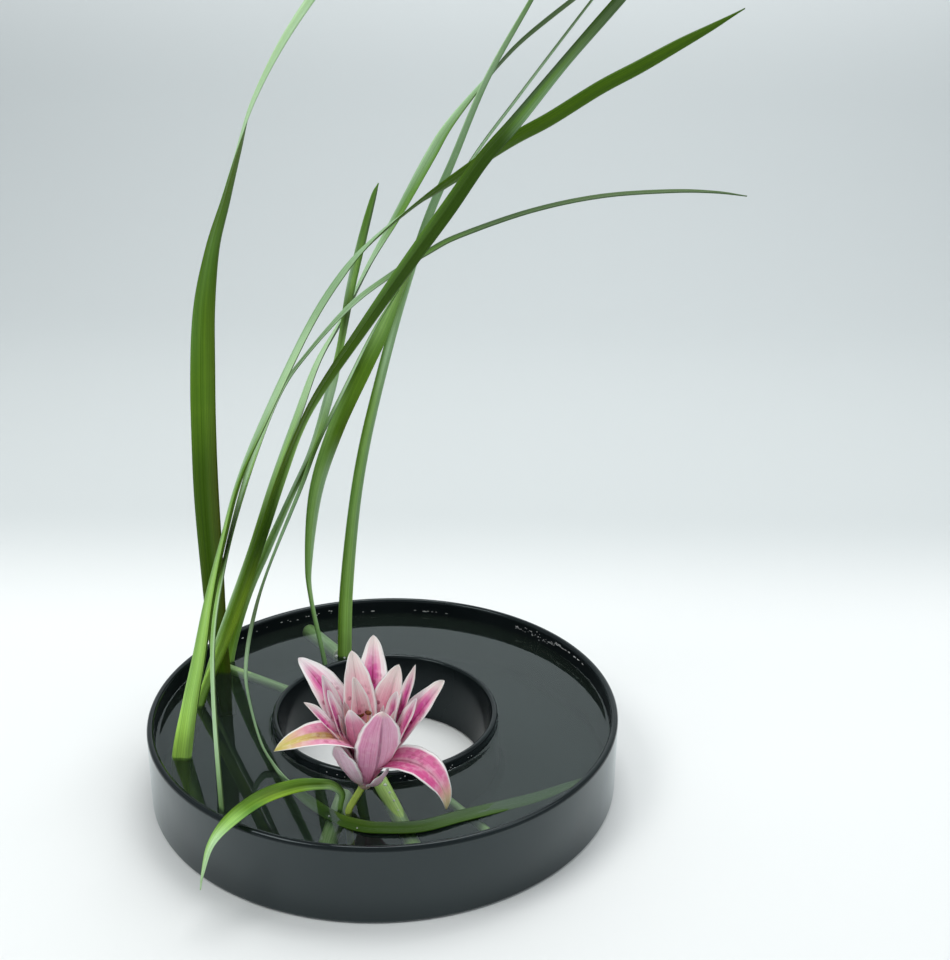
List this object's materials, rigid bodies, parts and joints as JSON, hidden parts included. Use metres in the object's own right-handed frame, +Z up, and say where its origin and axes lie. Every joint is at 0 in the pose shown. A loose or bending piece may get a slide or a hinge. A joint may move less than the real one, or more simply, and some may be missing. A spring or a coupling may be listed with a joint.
{
  "type": "ikebana arrangement",
  "caption": "Ikebana arrangement: long arching leaves and a double pink lily standing in a low round black bowl of water with an open ring in its middle.",
  "frame": {"origin": "middle of the underside of the arrangement's bounding box, on the table under the bowl", "axes": "+Z up; +X to the right and -Y towards the viewer, as in the picture"},
  "size_m": [0.3848, 0.3384, 0.5765],
  "materials": {
    "lacquer": "black high gloss",
    "water": "still clear water",
    "leaf": "dark green leaf, satin",
    "pale_leaf": "grey-green leaf, satin",
    "stalk": "fresh green stalk",
    "petal": "soft pink petal with a paler edge",
    "anther": "matt brown pollen"
  },
  "bodies": {
    "root": {"bowl": "lacquer", "water": "water", "tall_leaf": "leaf", "front_leaf": "pale_leaf", "arching_leaf": "pale_leaf", "broad_leaf": "pale_leaf", "middle_leaf": "leaf", "short_leaf": "leaf", "upright_leaf": "pale_leaf", "twisted_leaf": "leaf", "trailing_leaf": "leaf", "drooping_leaf": "pale_leaf", "back_strut": "stalk", "left_strut": "stalk", "pale_strut": "stalk", "front_strut": "stalk", "right_strut": "stalk", "lily_stem": "stalk", "lily_bloom": "petal", "lily_heart": "anther"}
  },
  "joints": []
}
